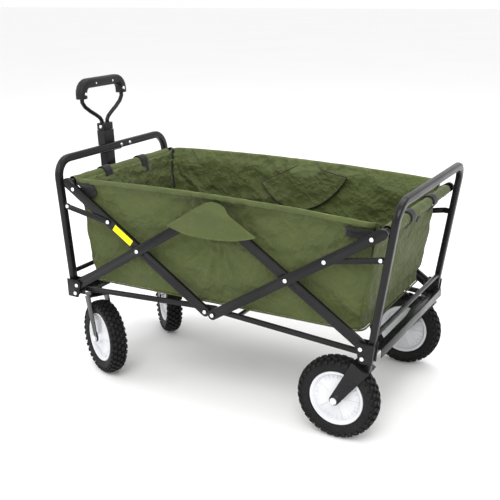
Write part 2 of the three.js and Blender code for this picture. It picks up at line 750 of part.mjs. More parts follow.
// ---------------------------------------------------------------- fabric tub
// an open bag of even thickness, with a sleeve along each end that goes round the arms' cross tube
function addTub() {
  const outline = (offset) => {
    const shape = new THREE.Shape();
    const bottom = tubFloorZ + offset;
    const top = offset > 0 ? tubTopZ + 50 : tubTopZ;
    shape.moveTo(-tubFoot + offset, bottom);
    shape.lineTo(tubFoot - offset, bottom);
    shape.lineTo(tubHalfLength - offset, armTopZ);
    shape.lineTo(tubHalfLength - offset, top);
    shape.lineTo(-tubHalfLength + offset, top);
    shape.lineTo(-tubHalfLength + offset, armTopZ);
    shape.closePath();
    return shape;
  };
  const skin = plate(outline(0), [-tubY, tubY]);
  const room = plate(outline(tubWall), [-tubY + tubWall, tubY - tubWall]);
  const sleeveReach = tubY - tubWall - 2;
  const lowEnds = Object.values(ends).map((end) => {
    const x = end > 0 ? [tubHalfLength - tubWall - 1, tubHalfLength + 1] : [-tubHalfLength - 1, -tubHalfLength + tubWall + 1];
    return box(x, [-sleeveReach, sleeveReach], [tubEndTopZ, tubTopZ + 5]);
  });
  const sleeveOuter = crossTubeRadius + 5;
  const sleeves = Object.values(ends).map((end) => pin(endPoint(end, armTop), sleeveOuter, [-sleeveReach, sleeveReach]));
  const tunnels = Object.values(ends).map((end) => pin(endPoint(end, armTop), crossTubeRadius + 2, [-tubY - 40, tubY + 40]));
  addNode('fabric_tub', cut(join(cut(skin, room, ...lowEnds), ...sleeves), ...tunnels), fabric);
}

// ---------------------------------------------------------------- assembly
addHoops();
addFootBrackets();
addCrossMembers();
addArms();
addCentreBrackets();
addLinks();
addRails();
addWheels();
addCasterMounts();
addHandleFittings();
addHandle();
addTub();

wagon.rotation.y = radians(size.rake);
wagon.updateMatrixWorld(true);
const bounds = new THREE.Box3().setFromObject(wagon, true);
const centre = bounds.getCenter(new THREE.Vector3());
wagon.position.set(-centre.x, 0, -bounds.min.z);
wagon.updateMatrixWorld(true);

// pivots and motion ratios of the mechanism, in the level frame, for whoever poses it
const linkAngle = (turn) => {
  const crossFolded = {
    x: size.pivotX - halfArm * Math.cos(pitch + turn),
    z: pivotZ + halfArm * Math.sin(pitch + turn),
  };
  const onArm = {
    x: crossFolded.x + linkOnArmDistance * Math.cos(pitch + turn),
    z: crossFolded.z + linkOnArmDistance * Math.sin(pitch + turn),
  };
  return Math.atan2(onArm.z - linkOnLeg.z, linkOnLeg.x - onArm.x);
};
const foldedPivotSpan = 2 * armLength * Math.cos(pitch + fold) + size.centreGap;
const foldedRailSpan = foldedPivotSpan / 2 + (railPivotX - size.pivotX);
const railLength = Math.hypot(railPivotX, railRise);
const railTurn = Math.acos(foldedRailSpan / railLength) - Math.atan2(railRise, railPivotX);
const topRise = (2 * halfArm + topOverhang) * (Math.sin(pitch + fold) - Math.sin(pitch));
wagon.userData = {
  pivots: {
    foot,
    crossing,
    upperBracket,
    lowerBracket,
    armTop,
    linkOnLeg,
    linkOnArm,
    railPivot,
    railHinge,
    rearAxle: { x: rearAxleX, y: rearWheelY, z: size.wheelRadius },
    caster: { x: casterX, y: casterY, trail: size.casterTrail, axleZ: casterAxleZ },
    handle: { x: -handleX, z: handleZ, lean: handleLean },
  },
  turns: { near: size.casterTurnNear, far: size.casterTurnFar },
  rake: size.rake,
  foldAngle: size.foldAngle,
  linkRatio: (linkAngle(fold) - linkAngle(0)) / fold,
  railRatio: railTurn / fold,
  tubRise: topRise,
  handleTravel: size.handleTravel,
  tub: { x: tubHalfLength, foot: tubFoot, y: tubY, floor: tubFloorZ, top: tubTopZ, wall: tubWall },
};

export default wagon;
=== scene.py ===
"""Folding camp wagon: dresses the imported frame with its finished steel, wheels, handle and fabric."""

import json
from math import atan2, cos, exp, hypot, pi, radians, sin

import bmesh
import bpy
from bpy.props import FloatProperty, FloatVectorProperty, IntProperty, PointerProperty
from mathutils import Matrix, Vector, noise
from mathutils.bvhtree import BVHTree


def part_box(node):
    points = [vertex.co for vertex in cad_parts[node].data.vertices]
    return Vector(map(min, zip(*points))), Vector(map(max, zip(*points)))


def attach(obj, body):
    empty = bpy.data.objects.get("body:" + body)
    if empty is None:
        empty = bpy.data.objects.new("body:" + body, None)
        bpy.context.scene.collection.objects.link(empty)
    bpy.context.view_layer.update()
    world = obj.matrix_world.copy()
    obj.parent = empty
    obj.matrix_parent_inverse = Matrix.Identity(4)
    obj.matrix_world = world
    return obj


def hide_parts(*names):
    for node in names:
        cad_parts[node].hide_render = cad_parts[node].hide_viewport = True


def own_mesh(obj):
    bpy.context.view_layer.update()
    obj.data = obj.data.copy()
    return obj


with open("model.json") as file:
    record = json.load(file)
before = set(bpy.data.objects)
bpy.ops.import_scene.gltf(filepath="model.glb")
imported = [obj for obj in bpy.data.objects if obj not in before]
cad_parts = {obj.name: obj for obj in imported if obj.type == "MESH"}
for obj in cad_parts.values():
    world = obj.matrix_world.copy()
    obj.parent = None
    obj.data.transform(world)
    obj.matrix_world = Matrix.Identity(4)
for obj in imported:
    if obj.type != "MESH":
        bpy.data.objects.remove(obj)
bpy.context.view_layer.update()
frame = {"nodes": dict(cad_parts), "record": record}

bl_info = {
    "name": "Folding camp wagon",
    "version": (1, 0, 0),
    "blender": (4, 5, 0),
    "location": "View3D > Sidebar > Camp wagon",
    "description": "Builds the visible pieces of a folding camp wagon on its packed frame",
    "category": "Add Mesh",
}

record = frame["record"]
joints = {joint["name"]: joint for joint in record["behaviour"]["joints"]}
body_of_node = {
    node: body for body, nodes in record["behaviour"]["bodies"].items() for node in nodes
}
SIDES = {"near": -1, "far": 1}
ENDS = {"rear": 1, "front": -1}

# The frame is drawn level, in millimetres, and stands raked with its handle end up.
rise_axis = joints["caster_near_swivel"]["axis"]
rake = atan2(rise_axis[0], rise_axis[2])
TURN = Matrix.Rotation(rake, 4, "Y")
ARM_FOOT = (391.0, 234.0)
SHIFT = Vector(joints["fold"]["pos_m"]) - TURN @ (Vector((ARM_FOOT[0], 0.0, ARM_FOOT[1])) / 1000)
PLACE = Matrix.Translation(SHIFT) @ TURN @ Matrix.Scale(0.001, 4)
LEVEL = PLACE.inverted()

# Pivots and ends in the level frame, as (x, z) of the rear end.
CROSSING = (202.1, 356.7)
ARM_TOP = (421.0, 498.8)
ARM_TOP_RIVET = (400.2, 485.3)
CENTRE_TOP = (13.25, 479.3)
CENTRE_BOTTOM = (13.25, 234.0)
LINK_ON_LEG = (419.1, 439.0)
LINK_ON_ARM = (293.5, 416.0)
RAIL_END = (396.0, 212.0)
BAR = (-441.4, 552.0)
STUD_HEIGHT = 2.2
RIVET_HEIGHT = 3.0
RIVET_SINK = 0.6
LABEL_PLACE = (-250.0, 0.0, 388.0)
LABEL_HALF = (31.0, 8.6)


# ---------------- settings
def a_colour(name, description, default):
    return FloatVectorProperty(
        name=name, description=description, default=default, size=3, subtype="COLOR"
    )


def a_length(name, description, default, **limits):
    return FloatProperty(name=name, description=description, default=default, unit="LENGTH", **limits)


class WagonFrameSettings(bpy.types.PropertyGroup):
    edge_radius: a_length("Edge radius", "Rounding along the steel edges", 0.0007, min=0.0001)
    steel_colour: a_colour("Steel colour", "Powder coat of the frame", (0.0045, 0.0045, 0.005))
    rivet_radius: a_length("Rivet radius", "Radius of the bright rivet heads", 0.0053)


class WagonWheelSettings(bpy.types.PropertyGroup):
    tread_blocks: IntProperty(
        name="Tread blocks", description="Blocks in one row round a tyre", default=34, min=12, max=60
    )
    tread_height: a_length("Tread height", "Height of the tread blocks", 0.005)
    hub_colour: a_colour("Hub colour", "Moulded plastic of the hubs", (0.70, 0.71, 0.73))


class WagonFabricSettings(bpy.types.PropertyGroup):
    fabric_colour: a_colour("Fabric colour", "Woven polyester of the tub", (0.092, 0.116, 0.036))
    fabric_thickness: a_length("Fabric thickness", "Thickness of the tub's cloth", 0.0014)
    crease_depth: a_length("Crease depth", "Depth of the deepest creases in the side panels", 0.016)
    webbing_colour: a_colour("Webbing colour", "Straps, cuffs and corner patches", (0.012, 0.012, 0.013))


class WagonStageSettings(bpy.types.PropertyGroup):
    floor_colour: a_colour("Floor colour", "Pale studio floor", (0.94, 0.94, 0.94))
    focal_length: FloatProperty(
        name="Focal length",
        description="Camera lens, in millimetres on a 36 mm sensor",
        default=62.82,
    )


# ---------------- shader groups
def new_group(name, outputs, **inputs):
    """A shader group that takes a vector and some inputs, where a tuple means a colour."""
    group = bpy.data.node_groups.new(name, "ShaderNodeTree")
    sockets = group.interface
    sockets.new_socket("Vector", in_out="INPUT", socket_type="NodeSocketVector")
    for label, value in inputs.items():
        kind = "NodeSocketColor" if isinstance(value, tuple) else "NodeSocketFloat"
        sockets.new_socket(label, in_out="INPUT", socket_type=kind).default_value = value
    for label in outputs:
        kind = "NodeSocketColor" if label == "Color" else "NodeSocketFloat"
        sockets.new_socket(label, in_out="OUTPUT", socket_type=kind)
    return group, group.nodes.new("NodeGroupInput"), group.nodes.new("NodeGroupOutput")


def feed(tree, socket, value):
    """Set a socket from a number or a colour, or link it to another node's output."""
    if isinstance(value, (int, float)):
        socket.default_value = value
    elif isinstance(value, (tuple, list)):
        socket.default_value = (*value[:3], 1.0)
    else:
        tree.links.new(value, socket)


def add_node(tree, kind, values):
    node = tree.nodes.new(kind)
    for label, value in values.items():
        feed(tree, node.inputs[label], value)
    return node


def add_noise(tree, vector, scale, detail, roughness=0.5):
    values = {"Vector": vector, "Scale": scale, "Detail": detail, "Roughness": roughness}
    return add_node(tree, "ShaderNodeTexNoise", values).outputs["Fac"]


def remap(tree, value, low, high, to_low=0.0, to_high=1.0):
    values = {"Value": value, "From Min": low, "From Max": high, "To Min": to_low, "To Max": to_high}
    return add_node(tree, "ShaderNodeMapRange", values).outputs["Result"]


def calculate(tree, operation, *values):
    node = tree.nodes.new("ShaderNodeMath")
    node.operation = operation
    for socket, value in zip(node.inputs, values):
        feed(tree, socket, value)
    return node.outputs[0]


def blend_colours(tree, factor, first, second):
    node = tree.nodes.new("ShaderNodeMix")
    node.data_type = "RGBA"
    sockets = (node.inputs["Factor"], node.inputs[6], node.inputs[7])
    for socket, value in zip(sockets, (factor, first, second)):
        feed(tree, socket, value)
    return node.outputs[2]


def make_edge_wear():
    """Lightens the rounded edges: partly wear, where the coat is thin and rubbed, and partly a painted
    highlight for the light caught along them.
    """
    group, given, out = new_group(
        "Edge wear", ("Color",), Coat=(0.01, 0.01, 0.01, 1), Worn=(0.2, 0.2, 0.2, 1), Amount=0.5
    )
    edge = group.nodes.new("ShaderNodeAttribute")
    edge.attribute_name = "edge"
    patches = remap(group, add_noise(group, given.outputs["Vector"], 38.0, 4.0), 0.35, 0.62)
    rubbed_and_highlit = calculate(group, "MULTIPLY", edge.outputs["Fac"], patches)
    mask = calculate(group, "MULTIPLY", rubbed_and_highlit, given.outputs["Amount"])
    colour = blend_colours(group, mask, given.outputs["Coat"], given.outputs["Worn"])
    group.links.new(colour, out.inputs["Color"])
    return group


def make_dust():
    """Settled dust and scuffs, thicker in broad soft patches."""
    group, given, out = new_group(
        "Dust", ("Color",), Clean=(0.1, 0.1, 0.1, 1), Dust=(0.4, 0.38, 0.34, 1), Amount=0.1
    )
    broad = remap(group, add_noise(group, given.outputs["Vector"], 7.0, 5.0, 0.6), 0.42, 0.75)
    fine = remap(group, add_noise(group, given.outputs["Vector"], 160.0, 3.0, 0.7), 0.35, 0.7)
    patches = calculate(group, "MULTIPLY", broad, fine)
    mask = calculate(group, "MULTIPLY", patches, given.outputs["Amount"])
    colour = blend_colours(group, mask, given.outputs["Clean"], given.outputs["Dust"])
    group.links.new(colour, out.inputs["Color"])
    return group


def make_grain():
    """Fine moulded or sprayed grain, as a height."""
    group, given, out = new_group("Grain", ("Height", "Mottle"), Scale=900.0)
    fine = add_noise(group, given.outputs["Vector"], given.outputs["Scale"], 3.0, 0.6)
    broad = add_noise(group, given.outputs["Vector"], 11.0, 4.0, 0.55)
    group.links.new(fine, out.inputs["Height"])
    group.links.new(broad, out.inputs["Mottle"])
    return group


def make_weave():
    """Plain weave: warp and weft threads that cross over and under."""
    group, given, out = new_group(
        "Weave", ("Color", "Height"), Thread=(0.1, 0.1, 0.1, 1), Gap=(0.03, 0.03, 0.03, 1), Scale=900.0
    )
    split = group.nodes.new("ShaderNodeSeparateXYZ")
    group.links.new(given.outputs["Vector"], split.inputs[0])
    threads = []
    for axis in ("X", "Y"):
        phase = calculate(group, "MULTIPLY", split.outputs[axis], given.outputs["Scale"])
        wave = calculate(group, "SINE", calculate(group, "MULTIPLY", phase, pi))
        threads.append(calculate(group, "ABSOLUTE", wave))
    crossing = calculate(group, "MULTIPLY", threads[0], threads[1])
    slub = add_noise(group, given.outputs["Vector"], 420.0, 3.0, 0.65)
    height = calculate(group, "ADD", crossing, calculate(group, "MULTIPLY", slub, 0.6))
    shade = remap(group, height, 0.15, 1.25)
    colour = blend_colours(group, shade, given.outputs["Gap"], given.outputs["Thread"])
    group.links.new(colour, out.inputs["Color"])
    group.links.new(height, out.inputs["Height"])
    return group


def place_group(tree, group, vector, **values):
    node = tree.nodes.new("ShaderNodeGroup")
    node.node_tree = group
    tree.links.new(vector, node.inputs["Vector"])
    for label, value in values.items():
        feed(tree, node.inputs[label], value)
    return node


def start_material(name, source="Object", **constants):
    material = bpy.data.materials.new(name)
    material.use_nodes = True
    tree = material.node_tree
    shader = tree.nodes["Principled BSDF"]
    for label, value in constants.items():
        shader.inputs[label.replace("_", " ")].default_value = value
    where = tree.nodes.new("ShaderNodeTexCoord").outputs[source]
    return material, tree, shader, where


def link_bump(tree, shader, height, strength, distance):
    values = {"Strength": strength, "Distance": distance, "Height": height}
    bump = add_node(tree, "ShaderNodeBump", values)
    tree.links.new(bump.outputs["Normal"], shader.inputs["Normal"])


def tinted(colour, factor, lift=0.0):
    return [part * factor + lift for part in colour]


def mottled(tree, grain, low, high, first, second):
    """Drift between two colours in broad soft patches."""
    return blend_colours(tree, remap(tree, grain.outputs["Mottle"], low, high), first, second)


def surface(tree, groups, shader, where, coat, worn_and_highlight, amount, dusty):
    """Lay edge wear, which is partly a painted highlight, and then dust over a coat."""
    wear = place_group(tree, groups["wear"], where, Coat=coat, Worn=worn_and_highlight, Amount=amount)
    dust = place_group(tree, groups["dust"], where, Clean=wear.outputs["Color"], Amount=dusty)
    tree.links.new(dust.outputs["Color"], shader.inputs["Base Color"])


def make_steel(groups, colour, name, worn_and_highlight, amount, roughness, metallic):
    material, tree, shader, where = start_material(
        name, Coat_Weight=0.14, Coat_Roughness=0.1, Specular_IOR_Level=0.16
    )
    grain = place_group(tree, groups["grain"], where, Scale=1400.0)
    coat = mottled(tree, grain, 0.3, 0.7, colour, tinted(colour, 1.6, 0.001))
    surface(tree, groups, shader, where, coat, worn_and_highlight, amount, 0.03)
    rough = remap(tree, grain.outputs["Mottle"], 0.25, 0.75, roughness - 0.07, roughness + 0.08)
    tree.links.new(rough, shader.inputs["Roughness"])
    shader.inputs["Metallic"].default_value = metallic
    link_bump(tree, shader, grain.outputs["Height"], 0.16, 0.0004)
    return material


def make_plastic(groups, name, colour, roughness, scale, dusty):
    material, tree, shader, where = start_material(name, Specular_IOR_Level=0.18)
    grain = place_group(tree, groups["grain"], where, Scale=scale)
    coat = mottled(tree, grain, 0.3, 0.7, colour, tinted(colour, 0.82))
    surface(tree, groups, shader, where, coat, tinted(colour, 1.5, 0.02), 0.3, dusty)
    rough = remap(tree, grain.outputs["Mottle"], 0.2, 0.8, roughness - 0.06, roughness + 0.08)
    tree.links.new(rough, shader.inputs["Roughness"])
    link_bump(tree, shader, grain.outputs["Height"], 0.22, 0.0005)
    return material


def make_cloth(groups, name, colour, scale, thread_bump, sheen, wrinkle=0.15):
    material, tree, shader, where = start_material(
        name, "UV", Sheen_Weight=sheen, Sheen_Roughness=0.45, Specular_IOR_Level=0.2
    )
    place = tree.nodes.new("ShaderNodeTexCoord").outputs["Object"]
    grain = place_group(tree, groups["grain"], place, Scale=60.0)
    thread = mottled(tree, grain, 0.32, 0.68, tinted(colour, 0.86), tinted(colour, 1.14))
    gap = tinted(colour, 0.55)
    weave = place_group(tree, groups["weave"], where, Thread=thread, Gap=gap, Scale=scale)
    surface(tree, groups, shader, place, weave.outputs["Color"], tinted(colour, 1.5, 0.01), 0.55, 0.06)
    rough = remap(tree, grain.outputs["Mottle"], 0.2, 0.8, 0.62, 0.8)
    tree.links.new(rough, shader.inputs["Roughness"])
    threads = calculate(tree, "MULTIPLY", weave.outputs["Height"], thread_bump)
    fuzz = calculate(tree, "MULTIPLY", grain.outputs["Height"], 0.35)
    height = calculate(tree, "ADD", threads, fuzz)
    for size, rise in ((9.0, 36.0), (22.0, 15.0)):
        swing = calculate(tree, "SUBTRACT", add_noise(tree, place, size, 3.0, 0.55), 0.5)
        ridge = remap(tree, calculate(tree, "ABSOLUTE", swing), 0.0, 0.22, 1.0, 0.0)
        fold = calculate(tree, "POWER", ridge, 3.0)
        height = calculate(tree, "ADD", height, calculate(tree, "MULTIPLY", fold, rise * wrinkle))
    link_bump(tree, shader, height, 0.30, 0.0012)
    return material


materials = {}


class WAGON_OT_finishes(bpy.types.Operator):
    """Make the shader groups and the material of every finish"""

    bl_idname = "wagon.finishes"
    bl_label = "Finishes"

    def execute(self, context):
        scene = context.scene
        steel, hub = tuple(scene.wagon_frame.steel_colour), tuple(scene.wagon_wheels.hub_colour)
        fabric = tuple(scene.wagon_fabric.fabric_colour)
        webbing = tuple(scene.wagon_fabric.webbing_colour)
        groups = {
            "wear": make_edge_wear(),
            "dust": make_dust(),
            "grain": make_grain(),
            "weave": make_weave(),
        }
        # The rubbed black lightens the steel's edges: partly wear, partly a painted highlight for the
        # light along them.
        rubbed_and_highlit_black, zinc, rubbed_zinc = (0.11, 0.105, 0.115), (0.66, 0.67, 0.69), (0.85, 0.85, 0.86)
        materials["steel"] = make_steel(groups, steel, "Black powder coat", rubbed_and_highlit_black, 0.45, 0.3, 0.0)
        materials["zinc"] = make_steel(groups, zinc, "Zinc plate", rubbed_zinc, 0.4, 0.34, 0.9)
        rubber, black, yellow = (0.007, 0.007, 0.0075), (0.014, 0.014, 0.015), (0.95, 0.86, 0.01)
        materials["rubber"] = make_plastic(groups, "Tyre rubber", rubber, 0.6, 700.0, 0.05)
        materials["hub"] = make_plastic(groups, "Hub plastic", hub, 0.42, 500.0, 0.05)
        materials["plastic"] = make_plastic(groups, "Black plastic", black, 0.45, 1100.0, 0.08)
        materials["label"] = make_plastic(groups, "Yellow label", yellow, 0.4, 300.0, 0.0)
        materials["fabric"] = make_cloth(groups, "Olive polyester", fabric, 700.0, 0.5, 0.06, 1.0)
        # The hem cloth is the fabric made lighter: a painted highlight for the light along the hems,
        # rolls and outside flap bindings.
        materials["hem"] = make_cloth(groups, "Olive hem with painted highlight", tinted(fabric, 1.08), 700.0, 0.5, 0.08)
        materials["webbing"] = make_cloth(groups, "Black webbing", webbing, 420.0, 0.9, 0.15)
        return {"FINISHED"}


# ---------------- making pieces
def is_sharp(edge, angle):
    return edge.is_manifold and edge.calc_face_angle(0.0) > radians(angle)


def mark_edges(bm, angle):
    for face in bm.faces:
        face.smooth = True
    for edge in bm.edges:
        edge.smooth = not is_sharp(edge, angle)


def put_in_scene(name, data):
    item = bpy.data.objects.new(name, data)
    bpy.context.scene.collection.objects.link(item)
    return item


def mesh_object(name, bm, material):
    mesh = bpy.data.meshes.new(name)
    bm.to_mesh(mesh)
    bm.free()
    mesh.materials.append(material)
    return put_in_scene(name, mesh)


def add_piece(name, bm, material, body, slot, angle=32.0, replaces=()):
    """Turn a bmesh in the row frame, in metres, into a finished piece that rides a body."""
    mark_edges(bm, angle)
    piece = mesh_object(name, bm, materials[material])
    if replaces:
        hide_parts(*replaces)
    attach(piece, body)
    return piece


def paint_edges(bm, worn_and_highlight):
    """Write how worn each corner is, from 0 to 1, where the finishes read it to lighten it as wear and
    as painted highlight.
    """
    corners = bm.loops.layers.float_color.new("edge")
    for face in bm.faces:
        for loop in face.loops:
            loop[corners] = (worn_and_highlight(loop),) * 3 + (1.0,)


def face_out(bm):
    bmesh.ops.recalc_face_normals(bm, faces=bm.faces[:])


def grid_verts(bm, columns, rows):
    """Add a flat grid from -1 to 1 both ways and return its points, to be moved into place."""
    return bmesh.ops.create_grid(bm, x_segments=columns, y_segments=rows, size=1.0)["verts"]


def add_head(bm, size):
    """A low round head at the origin, of a given half size along each axis."""
    verts = bmesh.ops.create_uvsphere(bm, u_segments=14, v_segments=8, radius=1.0)["verts"]
    bmesh.ops.scale(bm, verts=verts, vec=size)
    return verts


def from_axle(loop):
    centre = loop.face.calc_center_median()
    return hypot(centre.x, centre.z)


def round_edges(bm, width, angle=30.0, segments=2):
    """Bevel every sharp edge and mark the new faces as edges that are rubbed and take the painted
    highlight.
    """
    sharp = [edge for edge in bm.edges if is_sharp(edge, angle)]
    layer = bm.faces.layers.float.new("edge_face")
    if sharp:
        made = bmesh.ops.bevel(
            bm, geom=sharp, offset=width, offset_type="OFFSET", segments=segments, profile=0.5,
            affect="EDGES", clamp_overlap=True, material=-1,
        )
        for face in made["faces"]:
            face[layer] = 1.0
    paint_edges(bm, lambda loop: loop.face[layer])


def finished_copy(node, material, slot, width):
    """A merged copy of a node, with its flats joined and its edges rounded."""
    bm = bmesh.new()
    bm.from_mesh(frame["nodes"][node].data)
    bmesh.ops.remove_doubles(bm, verts=bm.verts[:], dist=1e-5)
    bmesh.ops.dissolve_limit(
        bm, angle_limit=radians(1.5), verts=bm.verts[:], edges=bm.edges[:], use_dissolve_boundaries=False
    )
    round_edges(bm, width)
    return add_piece(f"{node}_finished", bm, material, body_of_node[node], slot, replaces=(node,))


def spin_profile(bm, half, steps):
    """Turn a profile about the Y axis: (radius, y) points on one side, mirrored on the other."""
    profile = half + [(radius, -y) for radius, y in reversed(half)]
    verts = [bm.verts.new((radius, y, 0.0)) for radius, y in profile]
    edges = [bm.edges.new((verts[i], verts[(i + 1) % len(verts)])) for i in range(len(verts))]
    bmesh.ops.spin(
        bm, geom=verts + edges, cent=(0, 0, 0), axis=(0, 1, 0), angle=2 * pi, steps=steps, use_merge=True
    )
    bmesh.ops.remove_doubles(bm, verts=bm.verts[:], dist=1e-4)
    face_out(bm)


def add_dome(bm, centre, side, radius, height):
    """A domed rivet head on a face that looks along side times Y."""
    verts = add_head(bm, (radius, radius, height))
    bmesh.ops.rotate(bm, verts=verts, cent=(0, 0, 0), matrix=Matrix.Rotation(side * -pi / 2, 3, "X"))
    bmesh.ops.translate(bm, verts=verts, vec=centre)


def add_studs(name, body, studs):
    """One bright piece of round heads, each given by its middle and half size in the level frame."""
    bm = bmesh.new()
    for centre, size in studs:
        bmesh.ops.translate(bm, verts=add_head(bm, size), vec=centre)
    bm.transform(PLACE)
    add_piece(name, bm, "zinc", body, "zinc_steel", 60.0)


frame_trees = {}


def outer_face(x, z, side, nodes):
    """Distance from the middle plane of the outermost surface at a level-frame point."""
    found = []
    for node in nodes:
        if node not in frame_trees:
            bm = bmesh.new()
            bm.from_mesh(frame["nodes"][node].data)
            bm.transform(LEVEL)
            frame_trees[node] = BVHTree.FromBMesh(bm)
            bm.free()
        hit = frame_trees[node].ray_cast(Vector((x, side * 400.0, z)), Vector((0, -side, 0)), 300.0)
        if hit[0]:
            found.append(abs(hit[0].y))
    if not found:
        raise RuntimeError(f"no surface at {x}, {z}")
    return max(found)


def box_uv(bm, scale=0.001):
    """Lay each face flat on the plane it faces most, so the weave runs true, in metres."""
    layer = bm.loops.layers.uv.new("cloth")
    for face in bm.faces:
        normal = [abs(part) for part in face.normal]
        along = normal.index(max(normal))
        axes = [axis for axis in (0, 1, 2) if axis != along]
        for loop in face.loops:
            loop[layer].uv = (loop.vert.co[axes[0]] * scale, loop.vert.co[axes[1]] * scale)


def tube_along(name, points, radius, sides=2, cyclic=False):
    """A round piping or wire through level-frame points, as a bmesh in millimetres."""
    curve = bpy.data.curves.new(name, "CURVE")
    curve.dimensions = "3D"
    curve.bevel_depth = radius
    curve.bevel_resolution = sides
    curve.use_fill_caps = True
    spline = curve.splines.new("POLY")
    spline.points.add(len(points) - 1)
    for item, point in zip(spline.points, points):
        item.co = (*point, 1.0)
    spline.use_cyclic_u = cyclic
    holder = bpy.data.objects.new(name, curve)
    mesh = bpy.data.meshes.new_from_object(holder)
    bm = bmesh.new()
    bm.from_mesh(mesh)
    bpy.data.objects.remove(holder)
    bpy.data.curves.remove(curve)
    bpy.data.meshes.remove(mesh)
    return bm


def absorb(bm, other):
    """Add another bmesh's shape to this one."""
    mesh = bpy.data.meshes.new("absorbed")
    other.to_mesh(mesh)
    other.free()
    bm.from_mesh(mesh)
    bpy.data.meshes.remove(mesh)


# ---------------- steel frame
class WAGON_OT_frame(bpy.types.Operator):
    """Finish the hoops, arms, brackets, links, rails, forks and caster mounts"""

    bl_idname = "wagon.frame"
    bl_label = "Steel frame"

    def execute(self, context):
        width = context.scene.wagon_frame.edge_radius
        for entry in record["subparts"]:
            node, slot = entry["node"], entry["material_slot"]
            if slot == "frame_steel":
                wide = node.endswith("_hoop") or "channel" in node
                finished_copy(node, "steel", slot, width * (1.6 if wide else 1.0))
            elif slot == "zinc_steel":
                finished_copy(node, "zinc", slot, width)
        return {"FINISHED"}


class WAGON_OT_rivets(bpy.types.Operator):
    """Set bright domed heads on every pivot of the frame"""

    bl_idname = "wagon.rivets"
    bl_label = "Rivet heads"

    def add_rivet(self, bm, x, z, side, nodes, radius):
        """A dome sunk a little into the outermost of some nodes."""
        face = outer_face(x, z, side, nodes)
        add_dome(bm, (x, side * (face - RIVET_SINK), z), side, radius, RIVET_HEIGHT)

    def execute(self, context):
        radius = context.scene.wagon_frame.rivet_radius * 1000
        for end_name, end in ENDS.items():
            # a name that ends in _ takes its side's name
            bracket, link, upper = f"{end_name}_bracket_", f"{end_name}_link_", f"{end_name}_upper_arm_"
            heads = {
                f"{end_name}_frame": [
                    (ARM_FOOT, [bracket]),
                    (RAIL_END, [bracket]),
                    (LINK_ON_LEG, [f"{end_name}_hoop", link]),
                ],
                f"{end_name}_upper_arms": [(ARM_TOP_RIVET, [upper]), (LINK_ON_ARM, [upper, link])],
                f"{end_name}_lower_arms": [(CROSSING, [upper, f"{end_name}_lower_arm_"])],
            }
            for body, points in heads.items():
                bm = bmesh.new()
                for (x, z), hosts in points:
                    for side_name, side in SIDES.items():
                        nodes = [host + side_name if host.endswith("_") else host for host in hosts]
                        self.add_rivet(bm, end * x, z, side, nodes, radius)
                bm.transform(PLACE)
                add_piece(f"{body}_rivets", bm, "zinc", body, "zinc_steel", 50.0)
        for level_name, (x, z) in {"top": CENTRE_TOP, "bottom": CENTRE_BOTTOM}.items():
            bm = bmesh.new()
            for side_name, side in SIDES.items():
                for end in (-1, 1):
                    self.add_rivet(bm, end * x, z, side, [f"{level_name}_bracket_{side_name}"], radius)
            bm.transform(PLACE)
            body = f"{level_name}_brackets"
            add_piece(f"{body}_rivets", bm, "zinc", body, "zinc_steel", 50.0)
        return {"FINISHED"}


class WAGON_OT_label(bpy.types.Operator):
    """Stick the plain yellow label on the front near arm"""

    bl_idname = "wagon.label"
    bl_label = "Yellow label"

    def execute(self, context):
        slope = atan2(ARM_TOP[1] - CENTRE_BOTTOM[1], ARM_TOP[0] - CENTRE_BOTTOM[0])
        middle = Vector(LABEL_PLACE)
        face = outer_face(middle.x, middle.z, -1, ["front_upper_arm_near"])
        bm = bmesh.new()
        grid_verts(bm, 10, 4)
        stand = Matrix.Rotation(slope, 4, "Y") @ Matrix.Rotation(pi / 2, 4, "X")
        place = Matrix.Translation((middle.x, -(face + 0.15), middle.z))
        bm.transform(place @ stand @ Matrix.Diagonal((*LABEL_HALF, 1.0, 1.0)))
        made = bmesh.ops.extrude_face_region(bm, geom=bm.faces[:])
        raised = [item for item in made["geom"] if isinstance(item, bmesh.types.BMVert)]
        bmesh.ops.translate(bm, verts=raised, vec=(0, -0.35, 0))
        face_out(bm)
        bm.transform(PLACE)
        round_edges(bm, 0.00012)
        add_piece("yellow_label", bm, "label", "front_upper_arms", "black_plastic")
        return {"FINISHED"}


# ---------------- wheels
TYRE_OUTER = 97.7
BEAD = 65.5
NUT_OUT = 31.2
NUT_RADIUS = 8.6


def tyre_mesh(blocks, height):
    """One tyre about the Y axis: a round carcass with staggered tread blocks and shoulder lugs."""
    bm = bmesh.new()
    carcass = TYRE_OUTER - height
    half = [
        (BEAD, -15.0), (68.0, -18.5), (75.0, -20.6), (83.0, -20.9), (89.0, -18.4),
        (92.3, -13.0), (carcass, -5.0),
    ]
    spin_profile(bm, half, 60)
    pitch = 2 * pi / blocks
    rows = (
        # across, middle below the tyre's outside, length round, width, tilt, stagger on each side
        (4.6, 2.8, 11.5, 7.6, 0.0, (0.25, -0.25)),
        (13.4, 4.7, 9.6, 8.6, 0.42, (-0.1, 0.4)),
        (19.2, 10.3, 8.4, 8.4, 1.05, (0.35, 0.05)),
    )
    for across, inset, length, width, tilt, staggers in rows:
        size = Matrix.Diagonal((6.6, width, length, 1.0))
        for side, stagger in zip((1, -1), staggers):
            tip = Matrix.Translation((TYRE_OUTER - inset, side * across, 0))
            tip = tip @ Matrix.Rotation(side * tilt, 4, "Z")
            for index in range(blocks):
                turn = Matrix.Rotation((index + stagger) * pitch, 4, "Y")
                made = bmesh.ops.create_cube(bm, size=1.0, matrix=turn @ tip @ size)
                tops = [v for v in made["verts"] if (tip.inverted() @ turn.inverted() @ v.co).x > 0]
                middle = sum((v.co for v in tops), Vector()) / len(tops)
                bmesh.ops.scale(bm, verts=tops, vec=(0.86,) * 3, space=Matrix.Translation(-middle))
    paint_edges(bm, lambda loop: 0.7 if from_axle(loop) > TYRE_OUTER - 3.2 else 0.0)
    return bm


